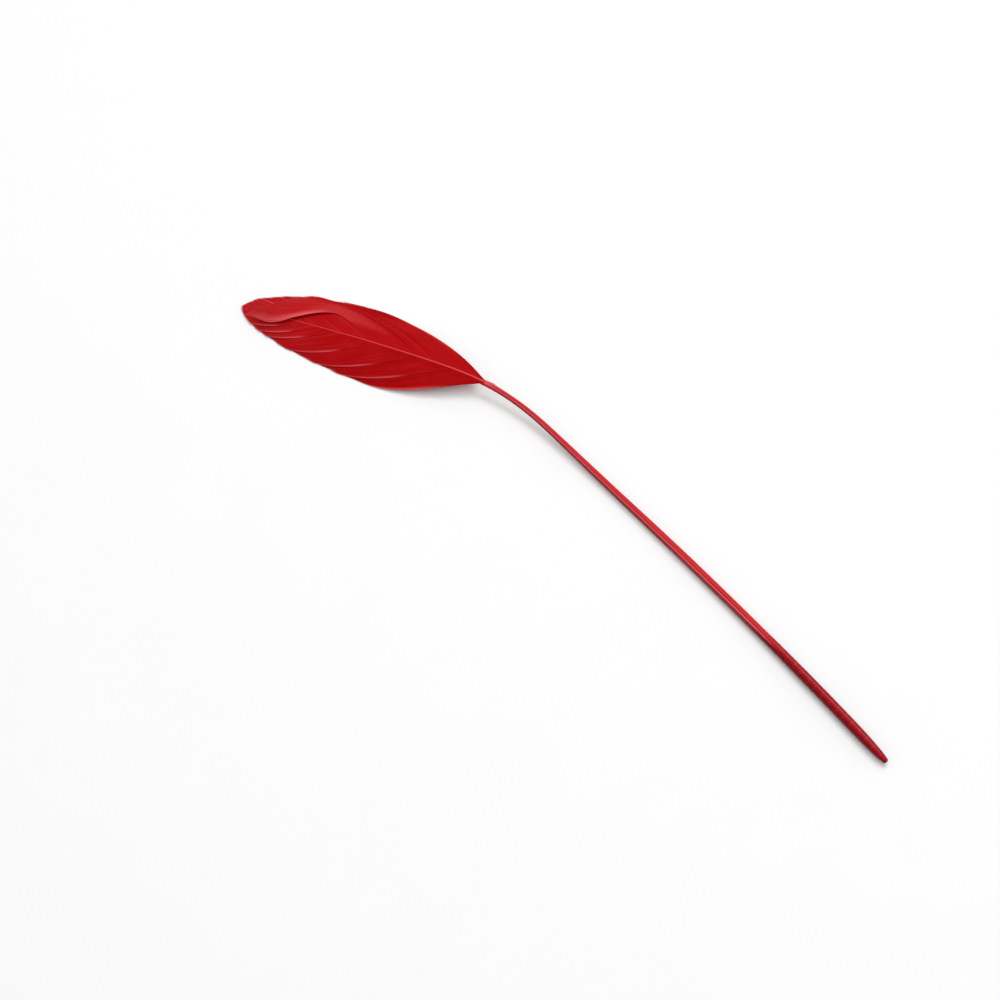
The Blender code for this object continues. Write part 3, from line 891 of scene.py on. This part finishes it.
def shaft_material():
    """Dyed keratin: a glossy crimson quill with painted shade down its sides, then a rachis with a lighter
    top and deeper sides, partly real and partly painted light, and painted highlights along its corners.
    """
    nodes = Nodes(bpy.data.materials.new("dyed_keratin_shaft"))
    uv = nodes.uv("place")
    parts = nodes.add("ShaderNodeSeparateXYZ", {"Vector": uv})
    around, along = parts.outputs["X"], parts.outputs["Y"]
    top_line_and_highlight = nodes.add("ShaderNodeSeparateXYZ", {"Vector": nodes.uv("tone")}).outputs["X"]
    fibres = nodes.noise(uv, 1.0, (FIBRES_AROUND, FIBRES_ALONG, 1), detail=4.0)
    clouds = nodes.noise(uv, 1.0, (CLOUDS_AROUND, CLOUDS_ALONG, 1), detail=3.0)
    from_top = nodes.maths("ABSOLUTE", nodes.maths("SUBTRACT", around, TOP))
    uneven_end = nodes.maths("MULTIPLY_ADD", clouds, QUILL_END_UNEVEN, RACHIS_COLOUR_FROM)
    pointed = nodes.maths("MULTIPLY_ADD", from_top, QUILL_END_POINTED, uneven_end)
    rachis = nodes.spread(nodes.maths("SUBTRACT", along, pointed), 0.0, RACHIS_COLOURS_OVER)
    # Deeper sides and a lighter top: partly real colour, partly painted shade and painted light
    side_red_and_shade = nodes.blend(nodes.spread(fibres, 0.35, 0.7), RACHIS_SIDE_AND_SHADE, DEEP_RED)
    top_red_and_light = nodes.blend(nodes.spread(fibres, 0.42, 0.68), BRIGHT_RED, RACHIS_TOP)
    # A paler top line in the vane, partly painted highlight
    top_red_and_light = nodes.blend(top_line_and_highlight, top_red_and_light, RACHIS_LINE_AND_HIGHLIGHT)
    rachis_red = nodes.blend(nodes.spread(from_top, *TOP_COLOUR_AND_LIGHT, 1.0, 0.0), side_red_and_shade, top_red_and_light)
    # Painted highlight along each corner of the rachis
    corner = nodes.maths("ABSOLUTE", nodes.maths("SUBTRACT", from_top, CORNER_AT))
    rachis_red = nodes.blend(nodes.spread(corner, *CORNER_HIGHLIGHT_WIDTHS, CORNER_HIGHLIGHT_STRENGTH, 0.0), rachis_red, CORNER_HIGHLIGHT_PINK)
    torn = nodes.noise(uv, 1.0, (TORN_AROUND, TORN_ALONG, 1), detail=3.0)
    off_scar = nodes.maths("ABSOLUTE", nodes.maths("SUBTRACT", from_top, SCAR_COLOUR_AT))
    bare = nodes.spread(along, *SCAR_COLOUR_ENDS, 1.0, 0.0)
    in_scar = nodes.maths("MULTIPLY", nodes.spread(off_scar, *SCAR_COLOUR, 1.0, 0.0), bare)
    scarred = nodes.maths("MULTIPLY", in_scar, nodes.spread(torn, 0.35, 0.65, *SCAR_PALENESS))
    rachis_red = nodes.blend(scarred, rachis_red, HIGHLIGHT_AND_SCAR_PINK)
    growth = nodes.maths("MULTIPLY", along, RINGS_ALONG)
    growth = nodes.maths("MULTIPLY_ADD", clouds, RINGS_UNEVEN, growth)
    rings = nodes.spread(nodes.maths("SINE", growth), 0.60, 1.0, 0.0, RING_PALENESS)
    quill_top = nodes.blend(rings, CRIMSON, RACHIS_TOP)
    # Painted shade: the quill darkens down its sides
    quill_side_shade = nodes.spread(from_top, *QUILL_SIDE, 0.0, QUILL_SIDE_PAINTED_SHADE)
    quill_red = nodes.blend(quill_side_shade, quill_top, SHADED_SIDE_CRIMSON)
    nodes.put(nodes.shader, "Base Color", nodes.blend(rachis, quill_red, rachis_red))
    quill_roughness = nodes.spread(fibres, *MIDDLE_OF_NOISE, *SHAFT_ROUGHNESS)
    roughness = nodes.maths("MULTIPLY_ADD", rachis, RACHIS_DULLER_BY, quill_roughness)
    nodes.put(nodes.shader, "Roughness", roughness)
    nodes.put(nodes.shader, "Normal", nodes.bump(fibres, FIBRE_HEIGHT, 0.2))
    nodes.put(nodes.shader, "Specular IOR Level", 0.13)
    return nodes.owner


def make_floor():
    """A plain white surface, which isn't part of the feather."""
    half = FLOOR_SIZE / 2
    mesh = bpy.data.meshes.new("floor")
    corners = [(-half, -half, 0), (half, -half, 0), (half, half, 0), (-half, half, 0)]
    mesh.from_pydata(corners, [], [(0, 1, 2, 3)])
    nodes = Nodes(bpy.data.materials.new("white_floor"))
    grain = nodes.noise(nodes.add("ShaderNodeTexCoord").outputs["Object"], 40.0)
    white = nodes.blend(grain, *FLOOR_WHITES)
    nodes.put(nodes.shader, "Base Color", white)
    nodes.put(nodes.shader, "Roughness", 0.9)
    nodes.put(nodes.shader, "Specular IOR Level", 0.1)
    mesh.materials.append(nodes.owner)
    floor = bpy.data.objects.new("floor", mesh)
    bpy.context.scene.collection.objects.link(floor)


def direction_from(azimuth, elevation):
    """The unit vector towards a place seen at this azimuth and elevation. Azimuth 0 is at -Y."""
    flat = math.cos(elevation)
    return Vector((math.sin(azimuth) * flat, -math.cos(azimuth) * flat, math.sin(elevation)))


def aim(obj, towards):
    obj.rotation_mode = "QUATERNION"
    obj.rotation_quaternion = (towards - obj.location).to_track_quat("-Z", "Y")


def make_camera():
    data = bpy.data.cameras.new("camera")
    data.lens = LENS
    data.clip_start, data.clip_end = CLIP_START, CLIP_END
    camera = bpy.data.objects.new("camera", data)
    bpy.context.scene.collection.objects.link(camera)
    camera.location = CAMERA_TARGET + CAMERA_DISTANCE * direction_from(CAMERA_AZIMUTH, CAMERA_ELEVATION)
    aim(camera, CAMERA_TARGET)
    bpy.context.scene.camera = camera


def make_light(name, azimuth, elevation, distance, size, power):
    """A square soft light. Its angles are in degrees, its azimuth from the camera's, its power in watts."""
    data = bpy.data.lights.new(name, "AREA")
    data.size, data.energy = size, power
    light = bpy.data.objects.new(name, data)
    bpy.context.scene.collection.objects.link(light)
    towards = direction_from(CAMERA_AZIMUTH + math.radians(azimuth), math.radians(elevation))
    light.location = CAMERA_TARGET + distance * towards
    aim(light, CAMERA_TARGET)


def make_lights():
    """A white tent, brighter on one side, with a broad soft light overhead and one behind."""
    world = bpy.data.worlds.new("white_tent")
    nodes = Nodes(world, "Background")
    bright_side = direction_from(CAMERA_AZIMUTH + BRIGHT_SIDE_AZIMUTH, BRIGHT_SIDE_ELEVATION)
    inputs = {0: nodes.add("ShaderNodeTexCoord").outputs["Generated"], 1: bright_side}
    towards = nodes.add("ShaderNodeVectorMath", inputs, operation="DOT_PRODUCT").outputs["Value"]
    nodes.put(nodes.shader, "Color", (1, 1, 1, 1))
    nodes.put(nodes.shader, "Strength", nodes.spread(towards, -1.0, 1.0, *TENT_STRENGTHS, "LINEAR"))
    bpy.context.scene.world = world
    make_light("overhead", azimuth=20, elevation=80, distance=1.6, size=1.2, power=5)
    make_light("key", azimuth=150, elevation=57, distance=1.5, size=0.7, power=8)
    bpy.context.scene.view_settings.view_transform = "Standard"


barbs = barb_material()
make_shaft(shaft_material())
make_vane_half(LEFT, "vane_left", barbs)
make_vane_half(RIGHT, "vane_right", barbs)
make_stumps(barbs)
make_floor()
make_camera()
make_lights()
